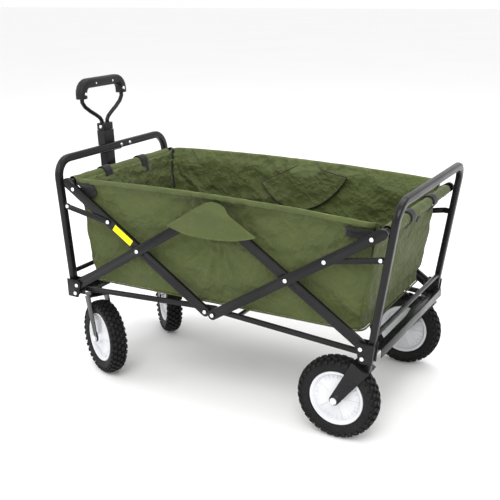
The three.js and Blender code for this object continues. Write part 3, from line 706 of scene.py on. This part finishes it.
def hub_mesh():
    """One hub about the Y axis: rim, web of ten tilted wedges, short ribs at the rim, and a boss."""
    bm = bmesh.new()
    half = [
        (6.6, -24.0), (12.5, -24.0), (14.0, -22.4), (15.0, -13.5), (18.0, -11.6), (46.0, -8.4),
        (55.0, -9.2), (58.0, -13.5), (60.0, -16.6), (63.6, -17.4), (65.2, -16.0),
    ]
    spin_profile(bm, half, 60)
    sectors = 10
    for side in (-1, 1):
        for sector in range(sectors):
            made = bmesh.ops.create_cube(bm, size=1.0)
            tip = 2.4 if sector % 2 else -2.4
            for vert in made["verts"]:
                along, lift, across = vert.co
                radius = 36.0 + 39.0 * along
                angle = (sector + 0.5 + across * 0.97) * 2 * pi / sectors
                slope = 11.9 - 2.6 * (along + 0.5) + tip * across
                height = side * (slope if lift * side > 0 else 7.6)
                vert.co = (radius * cos(angle), height, radius * sin(angle))
        for rib in range(30):
            turn = Matrix.Rotation((rib + 0.5) * pi / 15, 4, "Y")
            place = Matrix.Translation((50.0, side * 9.9, 0)) @ Matrix.Diagonal((9.0, 2.6, 1.1, 1.0))
            bmesh.ops.create_cube(bm, size=1.0, matrix=turn @ place)
    face_out(bm)
    paint_edges(bm, lambda loop: 0.35 if from_axle(loop) > 57.0 else 0.0)
    return bm


def wheel_places():
    """Each wheel's end and side, and the matrix that takes a wheel about Y to its axle."""
    for end_name in ENDS:
        for side_name in SIDES:
            joint = joints[f"{end_name}_wheel_{side_name}_spin"]
            axis = Vector(joint["axis"]).normalized()
            turn = Vector((0, 1, 0)).rotation_difference(axis).to_matrix().to_4x4()
            if end_name == "front":
                low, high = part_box(f"front_tyre_{side_name}")
            else:
                low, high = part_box(f"rear_tyre_{side_name}")
            place = Matrix.Translation((low + high) / 2) @ turn @ Matrix.Scale(0.001, 4)
            yield end_name, side_name, place


def dress_wheels(part, ending, material, slot, angle, build):
    """Put a built mesh on every wheel, in place of one of its nodes."""
    for end_name, side_name, place in wheel_places():
        bm = build()
        bm.transform(place)
        node = f"{end_name}_{part}_{side_name}"
        add_piece(f"{node}_{ending}", bm, material, body_of_node[node], slot, angle, (node,))


class WAGON_OT_tyres(bpy.types.Operator):
    """Build the four block-tread tyres"""

    bl_idname = "wagon.tyres"
    bl_label = "Tyres"

    def execute(self, context):
        settings = context.scene.wagon_wheels
        size = settings.tread_blocks, settings.tread_height * 1000
        dress_wheels("tyre", "tread", "rubber", "tyre", 28.0, lambda: tyre_mesh(*size))
        return {"FINISHED"}


class WAGON_OT_hubs(bpy.types.Operator):
    """Build the four ribbed plastic hubs"""

    bl_idname = "wagon.hubs"
    bl_label = "Hubs"

    def execute(self, context):
        dress_wheels("hub", "ribbed", "hub", "hub_plastic", 34.0, hub_mesh)
        return {"FINISHED"}


class WAGON_OT_axle_ends(bpy.types.Operator):
    """Put a domed nut on both ends of every axle"""

    bl_idname = "wagon.axle_ends"
    bl_label = "Axle ends"

    def execute(self, context):
        for end_name, side_name, place in wheel_places():
            node = f"caster_axle_{side_name}" if end_name == "front" else f"rear_axle_{side_name}"
            bm = bmesh.new()
            for side in SIDES.values():
                lay = Matrix.Translation((0, side * NUT_OUT, 0)) @ Matrix.Rotation(pi / 2, 4, "X")
                width = {"radius1": NUT_RADIUS, "radius2": NUT_RADIUS}
                bmesh.ops.create_cone(bm, cap_ends=True, segments=6, depth=5.0, matrix=lay, **width)
                add_dome(bm, (0, side * (NUT_OUT + 2.2), 0), side, 6.6, 3.4)
            bm.transform(place)
            add_piece(f"{node}_nuts", bm, "zinc", body_of_node[node], "zinc_steel")
        return {"FINISHED"}


# ---------------- handle
class WAGON_OT_handle(bpy.types.Operator):
    """Finish the collar, socket, grip and clip of the pull handle, and add its screws"""

    bl_idname = "wagon.handle"
    bl_label = "Pull handle"

    def execute(self, context):
        for node in ("handle_collar", "handle_socket", "handle_clip"):
            finished_copy(node, "plastic", "black_plastic", 0.0012)
        finished_copy("handle_grip", "plastic", "black_plastic", 0.002)
        low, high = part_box("handle_grip")
        middle = LEVEL @ ((low + high) / 2)
        foot, top = (LEVEL @ low).z + 14.0, (LEVEL @ high).z - 14.5
        screw, socket_head, grip_head, bar_head = (
            (2.6, 5.0, 5.0), (4.6, STUD_HEIGHT, 4.6), (STUD_HEIGHT, 3.8, 3.8), (STUD_HEIGHT, 4.8, 4.8)
        )
        screws = [((middle.x + 13.2, y, foot), screw) for y in (-83.0, 83.0)]
        add_studs("handle_grip_screws", "handle_grip", screws)

        socket_low, socket_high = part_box("handle_socket")
        socket = LEVEL @ ((socket_low + socket_high) / 2)
        rivets = [((socket.x + 1.0, socket.y - 20.4, socket.z), socket_head)]
        rivets += [((middle.x + 11.0, y, top), grip_head) for y in (-36.0, 36.0)]
        add_studs("handle_rivets", "handle_grip", rivets)

        bar_rivets = [((BAR[0], y, BAR[1]), bar_head) for y in (24.0, 62.0)]
        add_studs("front_bar_rivets", "front_frame", bar_rivets)
        return {"FINISHED"}


# ---------------- fabric tub
HALF_TOP = 409.0
HALF_BOTTOM = 374.0
RIM_END = 500.0
CUFF_PLACES = (-82.0, 82.0)
ROLL_RADIUS = 12.4
CUFF_RADIUS = 15.2
WEBBING_THICKNESS = 0.0018
CREASES = (
    # centre (x, z), folds round it, reach, weight
    (8.0, 430.0, 17.0, 160.0, 0.75),
    (385.0, 262.0, 11.0, 120.0, 0.6),
    (-385.0, 262.0, 11.0, 120.0, 0.45),
    (396.0, 485.0, 13.0, 150.0, 0.45),
    (-396.0, 485.0, 13.0, 150.0, 0.45),
    (200.0, 520.0, 9.0, 130.0, 0.30),
    (-190.0, 250.0, 9.0, 120.0, 0.30),
)


def smooth_step(low, high, value):
    share = min(max((value - low) / (high - low), 0.0), 1.0)
    return share * share * (3 - 2 * share)


def top_height(x, y):
    """Height of the rim: the side hems rise in the middle, the ends lie on the cross tubes."""
    hem = 514.0 + 11.0 * (1 - (x / 410.0) ** 2) + 2.0 * (x / 410.0)
    return RIM_END + (hem - RIM_END) * smooth_step(190.0, 226.0, abs(y))


def bottom_height(x):
    return 246.0 + 6.5 * (x / 400.0)


def crease(x, y, z, depth):
    """How far the cloth draws in at a point: soft folds off the centre bracket and the corners."""
    total = 0.0
    for cx, cz, folds, reach, weight in CREASES:
        dx, dz = x - cx, z - cz
        reach_now = exp(-((hypot(dx, dz) / reach) ** 2))
        wobble = noise.noise(Vector((x * 0.011, y * 0.013 + 4.0, z * 0.011))) * 2.4
        total += weight * reach_now * (0.5 + 0.5 * sin(folds * atan2(dz, dx) + wobble))
    ridge = 1 - abs(noise.noise(Vector((x * 0.0075 + 3.1, y * 0.004, z * 0.0125 + 1.7))))
    fine = 1 - abs(noise.noise(Vector((x * 0.021 + 9.0, y * 0.01, z * 0.019 + 5.0))))
    total += 0.42 * ridge ** 5 + 0.20 * fine ** 6
    return depth * min(total, 1.35)


def wall_point(gx, gy, share, depth):
    """A point of the shell: (gx, gy) on the edge of a unit square, share up the wall."""
    half_x = HALF_BOTTOM + (HALF_TOP - HALF_BOTTOM) * share ** 0.8
    belly = 14.0 * smooth_step(0.0, 0.22, share)
    half_y = 206.0 + belly + 15.0 * smooth_step(0.84, 0.99, share)
    corner = 26.0
    x, y = gx * half_x, gy * half_y
    core_x = max(-half_x + corner, min(half_x - corner, x))
    core_y = max(-half_y + corner, min(half_y - corner, y))
    dx, dy = x - core_x, y - core_y
    if abs(dx) > 1e-6 and abs(dy) > 1e-6:
        pull = max(abs(dx), abs(dy)) / hypot(dx, dy)
        dx, dy = dx * pull, dy * pull
    x, y = core_x + dx, core_y + dy
    low = bottom_height(x)
    z = low + (top_height(x, y) - low) * share
    fade = smooth_step(0.0, 0.10, share) * (1 - 0.75 * smooth_step(0.90, 1.0, share))
    draw_in = crease(x, y, z, depth) * fade
    if abs(gy) > 0.999:
        y -= draw_in * (1 if gy > 0 else -1)
    if abs(gx) > 0.999:
        x -= draw_in * 0.8 * (1 if gx > 0 else -1)
    return Vector((x, y, z))


def shell_mesh(depth, columns=96, across=52, rows=26):
    """The tub as one open shell: a floor grid whose edge is drawn up row by row."""
    bm = bmesh.new()
    grid_verts(bm, columns, across)
    rim = [edge for edge in bm.edges if edge.is_boundary]
    level = bm.verts.layers.int.new("row")
    for row in range(1, rows + 1):
        made = bmesh.ops.extrude_edge_only(bm, edges=rim)
        fresh = [item for item in made["geom"] if isinstance(item, bmesh.types.BMVert)]
        rim = [item for item in made["geom"] if isinstance(item, bmesh.types.BMEdge)]
        rim = [edge for edge in rim if edge.is_boundary]
        for vert in fresh:
            vert[level] = row
    for vert in bm.verts:
        gx, gy = vert.co.x, vert.co.y
        row = vert[level]
        if row == 0:
            edge_share = max(abs(gx), abs(gy))
            vert.co = wall_point(gx, gy, 0.0, depth)
            ripple = noise.noise(Vector((gx * 4.0, gy * 3.0, 0.3))) * 1.6
            vert.co.z += 3.2 - 1.2 * edge_share ** 6 + ripple * (1 - edge_share ** 4)
        else:
            vert.co = wall_point(gx, gy, row / rows, depth)
    for _ in range(2):
        lower = [vert for vert in bm.verts if 0 < vert[level] < 3]
        bmesh.ops.smooth_vert(
            bm, verts=lower, factor=0.5, use_axis_x=True, use_axis_y=True, use_axis_z=True
        )
    face_out(bm)
    return bm


def apply_all(piece):
    """Bake a piece's modifiers into its mesh."""
    bpy.context.view_layer.update()
    graph = bpy.context.evaluated_depsgraph_get()
    mesh = bpy.data.meshes.new_from_object(piece.evaluated_get(graph))
    piece.modifiers.clear()
    piece.data = mesh


def fold_with_tub(piece):
    """Bake a cloth piece's modifiers into a mesh of its own."""
    apply_all(piece)
    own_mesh(piece)
    return piece


def cloth_piece(name, bm, material, thickness=None, levels=0, offset=0.0):
    box_uv(bm)
    bm.transform(PLACE)
    paint_edges(bm, lambda loop: 1.0 if loop.vert.is_boundary else 0.0)
    piece = add_piece(name, bm, material, "top_brackets", "fabric", 60.0)
    if levels:
        rounder = piece.modifiers.new("Roundness", "SUBSURF")
        rounder.levels = rounder.render_levels = levels
    if thickness:
        solid = piece.modifiers.new("Thickness", "SOLIDIFY")
        solid.thickness, solid.offset = thickness, offset
        solid.use_even_offset = False
    return piece


class WAGON_OT_tub(bpy.types.Operator):
    """Draw up the fabric tub, with its creases, hems, end rolls, cuffs, corner bands and piping"""

    bl_idname = "wagon.tub"
    bl_label = "Fabric tub"

    def execute(self, context):
        settings = context.scene.wagon_fabric
        thickness = settings.fabric_thickness
        depth = settings.crease_depth * 1000
        shell = cloth_piece("tub_shell", shell_mesh(depth), "fabric", thickness, 1, -1.0)
        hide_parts("fabric_tub")

        trims = [self.add_hems(depth), self.add_piping(depth)]
        trims += [self.add_roll(end_name, end) for end_name, end in ENDS.items()]
        trims += [self.add_cuffs(end_name, end) for end_name, end in ENDS.items()]
        trims += [self.add_patches(), self.add_corner_bands(depth)]
        trims = [fold_with_tub(piece) for piece in trims]
        fold_with_tub(shell)
        return {"FINISHED"}

    def add_hems(self, depth):
        """A doubled band along both side rims."""
        bm = bmesh.new()
        for side in SIDES.values():
            for vert in grid_verts(bm, 96, 4):
                gx = vert.co.x * 0.988
                share = 0.957 + 0.0215 * (vert.co.y + 1)
                point = wall_point(gx, side, share, depth)
                point.y += side * 1.3
                if share > 0.999:
                    point.z += 0.8
                vert.co = point
        face_out(bm)
        # The hems use the lighter hem cloth, a painted highlight along the rim.
        return cloth_piece("tub_hems", bm, "hem", 0.0026, 1)

    def add_piping(self, depth):
        """Bound seam round the foot of the walls."""
        points = []
        count = 240
        for step in range(count):
            t = 4.0 * step / count
            leg, along = int(t), (t - int(t)) * 2 - 1
            gx, gy = ((along, -1.0), (1.0, along), (-along, 1.0), (-1.0, -along))[leg]
            point = wall_point(gx, gy, 0.012, depth)
            points.append(point + Vector((0, 0, -1.5)))
        bm = tube_along("tub_piping", points, 2.1, 1, True)
        return cloth_piece("tub_piping", bm, "fabric")

    def add_roll(self, end_name, end):
        """The end hem rolled round the arms' cross tube."""
        bm = bmesh.new()
        for vert in grid_verts(bm, 90, 30):
            along, around = vert.co.x, (vert.co.y + 1) * pi
            y = along * 214.0
            swell = 1.3 * noise.noise(Vector((y * 0.03, around * 0.8, end * 3.0)))
            pinch = sum(exp(-(((y - cuff) / 16.0) ** 2)) for cuff in CUFF_PLACES)
            radius = ROLL_RADIUS + swell - 0.8 * pinch
            if pi * 0.95 < around < pi * 1.6:
                radius += 1.5
            x = end * (ARM_TOP[0] + radius * cos(around))
            vert.co = (x, y, ARM_TOP[1] + radius * sin(around))
        bmesh.ops.remove_doubles(bm, verts=bm.verts[:], dist=0.2)
        face_out(bm)
        # The roll uses the lighter hem cloth, a painted highlight.
        return cloth_piece(f"tub_roll_{end_name}", bm, "hem", 0.0012, 0, -1.0)

    def add_cuffs(self, end_name, end):
        """Two black hook-and-loop cuffs that hold the roll, with a tail down the inside."""
        bm = bmesh.new()
        for y in CUFF_PLACES:
            for vert in grid_verts(bm, 36, 5):
                share, width = (vert.co.x + 1) / 2, vert.co.y * 16.0
                around = min(max((share - 0.30) / 0.50, 0.0), 1.0)
                angle = pi - around * pi * 1.15
                x, z = CUFF_RADIUS * cos(angle), CUFF_RADIUS * sin(angle)
                if share < 0.30:
                    drop = (0.30 - share) / 0.30 * 52.0
                    x, z = -15.6 - 0.17 * drop, -drop
                elif share >= 0.80:
                    run = (share - 0.80) / 0.20
                    x, z = x - 13.0 * run, z - 17.0 * run
                vert.co = (end * (ARM_TOP[0] + x), y + width, ARM_TOP[1] + z)
        face_out(bm)
        return cloth_piece(f"tub_cuffs_{end_name}", bm, "webbing", WEBBING_THICKNESS)

    def add_patches(self):
        """Black webbing sewn to the side panels behind the arms' tops."""
        bm = bmesh.new()
        outlines = (
            ((330.0, 499.0), (402.0, 499.0), (402.0, 470.0), (330.0, 476.0)),
            ((-392.0, 503.0), (-342.0, 503.0), (-342.0, 474.0), (-384.0, 452.0)),
        )
        for side in SIDES.values():
            for corners in outlines:
                for vert in grid_verts(bm, 16, 8):
                    u, v = (vert.co.x + 1) / 2, (vert.co.y + 1) / 2
                    upper = Vector(corners[0]).lerp(Vector(corners[1]), u)
                    lower = Vector(corners[3]).lerp(Vector(corners[2]), u)
                    x, z = lower.lerp(upper, v)
                    bump = 0.7 * noise.noise(Vector((x * 0.05, z * 0.05, side)))
                    wall = 221.4 + 13.0 * smooth_step(486.0, 505.0, z)
                    vert.co = (x, side * (wall + bump + 1.0), z)
        face_out(bm)
        return cloth_piece("tub_patches", bm, "webbing", WEBBING_THICKNESS)

    def add_corner_bands(self, depth):
        """Black webbing down the inside of the four corners."""
        bm = bmesh.new()
        for end in ENDS.values():
            for side in SIDES.values():
                for vert in grid_verts(bm, 3, 24):
                    share = 0.60 + 0.20 * (vert.co.y + 1)
                    gy = side * (0.955 - 0.020 * (vert.co.x + 1))
                    point = wall_point(end, gy, share, depth)
                    point.x -= end * 3.2
                    vert.co = point
        face_out(bm)
        return cloth_piece("tub_corner_bands", bm, "webbing", WEBBING_THICKNESS)


class WAGON_OT_flaps(bpy.types.Operator):
    """Hang the curved flaps that cover the centre brackets, outside and inside"""

    bl_idname = "wagon.flaps"
    bl_label = "Bracket flaps"

    # apex, left corner, right corner and lowest point, in the level frame
    outside = ((9.0, 509.0), (-108.0, 439.0), (126.0, 446.0), (15.0, 425.0))
    inside = ((36.0, 519.0), (-92.0, 455.0), (158.0, 498.0), (28.0, 394.0))

    def execute(self, context):
        for side_name, side in SIDES.items():
            self.add_flap(f"flap_outside_{side_name}", side, self.outside, True)
            self.add_flap(f"flap_inside_{side_name}", side, self.inside, False)
        return {"FINISHED"}

    def flap_point(self, across, down, side, marks, outer):
        apex, left, right, low = (Vector(mark) for mark in marks)
        bow = low.y - (left.y + right.y) / 2
        foot = left.lerp(right, across)
        foot.y += bow * (4 * across * (1 - across)) ** 0.85
        top = Vector((apex.x + (across - 0.5) * 44.0, apex.y - 5.0 * (2 * across - 1) ** 2))
        point = top.lerp(foot, down)
        if outer:
            hug = 238.5 + 19.0 * smooth_step(0.0, 0.34, down)
            hug -= 4.5 * smooth_step(0.55, 1.0, abs(across - 0.5) * 2) * smooth_step(0.3, 1.0, down)
            ripple = 2.0 * noise.noise(Vector((point.x * 0.02, point.y * 0.022, side * 2.0)))
            ripple += 1.6 * sin(across * 9.0 + 2.0) * down * (1 - down) * 2
            y = hug + ripple
        else:
            hug = 228.0 - 27.0 * smooth_step(0.0, 0.30, down)
            ripple = 2.6 * noise.noise(Vector((point.x * 0.018, point.y * 0.02, side * 5.0)))
            y = hug + ripple - 4.0 * down * (0.5 + 0.5 * sin(across * 11.0))
        return Vector((point.x, side * y, point.y))

    def add_flap(self, name, side, marks, outer):
        bm = bmesh.new()
        for vert in grid_verts(bm, 40, 26):
            across, down = (vert.co.x + 1) / 2, (vert.co.y + 1) / 2
            vert.co = self.flap_point(across, down, side, marks, outer)
        bmesh.ops.remove_doubles(bm, verts=bm.verts[:], dist=0.3)
        face_out(bm)
        flap = cloth_piece(name, bm, "fabric", 0.0014, 1)

        steps = 44
        low_edge = [self.flap_point(i / steps, 1.0, side, marks, outer) for i in range(steps + 1)]
        bm = tube_along(f"{name}_binding", low_edge, 1.2, 1)
        for across in (0.0, 1.0):
            edge = [self.flap_point(across, i / steps, side, marks, outer) for i in range(2, steps + 1)]
            absorb(bm, tube_along("side_binding", edge, 1.3, 1))
        # The inside flaps' bindings are black webbing, painted shade for the dark lines along their
        # creases; the outside flaps' bindings use the lighter hem cloth, a painted highlight.
        binding = cloth_piece(f"{name}_binding", bm, "hem" if outer else "webbing")
        fold_with_tub(flap)
        fold_with_tub(binding)


# ---------------- stage
CAMERA_PLACE = (995.69, -1910.41, 1023.66)
# yaw, pitch and roll, in degrees, in the level frame
CAMERA_ANGLES = (28.02, 17.95, 1.05)
LAMP_TARGET = (0, 0, 0.35)
LAMPS = (
    # name, place in metres, width, power
    ("key_light", (1.2, -3.0, 3.4), 2.6, 105.0),
    ("fill_light", (-3.2, -1.6, 2.4), 2.4, 30.0),
    ("top_light", (0.2, 0.8, 3.8), 2.8, 60.0),
)


class WAGON_OT_stage(bpy.types.Operator):
    """Set the pale floor, the soft studio light and the camera"""

    bl_idname = "wagon.stage"
    bl_label = "Stage"

    def execute(self, context):
        settings = context.scene.wagon_stage
        self.add_floor(tuple(settings.floor_colour))
        self.add_lights()
        self.add_camera(settings.focal_length)
        return {"FINISHED"}

    def add_floor(self, colour):
        material, tree, shader, where = start_material(
            "Studio floor", Roughness=0.9, Specular_IOR_Level=0.1
        )
        patches = remap(tree, add_noise(tree, where, 0.8, 3.0), 0.3, 0.7)
        tint = blend_colours(tree, patches, colour, tinted(colour, 0.985))
        tree.links.new(tint, shader.inputs["Base Color"])
        bm = bmesh.new()
        bmesh.ops.create_grid(bm, x_segments=2, y_segments=2, size=30.0)
        floor = mesh_object("studio_floor", bm, material)

    def add_lights(self):
        world = bpy.data.worlds.new("Studio")
        world.use_nodes = True
        background = world.node_tree.nodes["Background"]
        background.inputs["Color"].default_value = (1.0, 1.0, 1.0, 1.0)
        background.inputs["Strength"].default_value = 1.0
        bpy.context.scene.world = world
        bpy.context.scene.view_settings.view_transform = "Standard"
        for name, place, size, power in LAMPS:
            lamp = bpy.data.lights.new(name, "AREA")
            lamp.size = size
            lamp.energy = power
            holder = put_in_scene(name, lamp)
            holder.location = place
            aim = Vector(LAMP_TARGET) - Vector(place)
            holder.rotation_euler = aim.to_track_quat("-Z", "Y").to_euler()

    def add_camera(self, focal_length):
        yaw, pitch, roll = (radians(angle) for angle in CAMERA_ANGLES)
        turn = Matrix.Rotation(yaw, 4, "Z") @ Matrix.Rotation(pi / 2 - pitch, 4, "X")
        turn = turn @ Matrix.Rotation(roll, 4, "Z")
        lens = bpy.data.cameras.new("wagon_camera")
        lens.lens = focal_length
        lens.sensor_width = 36.0
        lens.clip_end = 200.0
        camera = put_in_scene("wagon_camera", lens)
        camera.matrix_world = Matrix.Translation(PLACE @ Vector(CAMERA_PLACE)) @ TURN @ turn
        bpy.context.scene.camera = camera


# ---------------- add-on
class WAGON_PT_panel(bpy.types.Panel):
    """Lists the wagon's pieces and their settings"""

    bl_label = "Camp wagon"
    bl_idname = "WAGON_PT_panel"
    bl_space_type = "VIEW_3D"
    bl_region_type = "UI"
    bl_category = "Camp wagon"

    def draw(self, context):
        scene = context.scene
        for group in (scene.wagon_frame, scene.wagon_wheels, scene.wagon_fabric, scene.wagon_stage):
            for label in group.__annotations__:
                self.layout.prop(group, label)
        for operator in OPERATORS:
            self.layout.operator(operator.bl_idname)


SETTINGS = {
    "wagon_frame": WagonFrameSettings,
    "wagon_wheels": WagonWheelSettings,
    "wagon_fabric": WagonFabricSettings,
    "wagon_stage": WagonStageSettings,
}
OPERATORS = (
    WAGON_OT_finishes,
    WAGON_OT_frame,
    WAGON_OT_rivets,
    WAGON_OT_label,
    WAGON_OT_tyres,
    WAGON_OT_hubs,
    WAGON_OT_axle_ends,
    WAGON_OT_handle,
    WAGON_OT_tub,
    WAGON_OT_flaps,
    WAGON_OT_stage,
)


CLASSES = (*SETTINGS.values(), *OPERATORS, WAGON_PT_panel)


def register():
    for item in CLASSES:
        bpy.utils.register_class(item)
    for name, settings in SETTINGS.items():
        setattr(bpy.types.Scene, name, PointerProperty(type=settings))


def unregister():
    for name in SETTINGS:
        delattr(bpy.types.Scene, name)
    for item in reversed(CLASSES):
        bpy.utils.unregister_class(item)


def main():
    register()
    bpy.ops.wagon.finishes()
    bpy.ops.wagon.frame()
    bpy.ops.wagon.rivets()
    bpy.ops.wagon.label()
    bpy.ops.wagon.tyres()
    bpy.ops.wagon.hubs()
    bpy.ops.wagon.axle_ends()
    bpy.ops.wagon.handle()
    bpy.ops.wagon.tub()
    bpy.ops.wagon.flaps()
    bpy.ops.wagon.stage()
    bpy.context.view_layer.update()


if __name__ == "__main__":
    main()
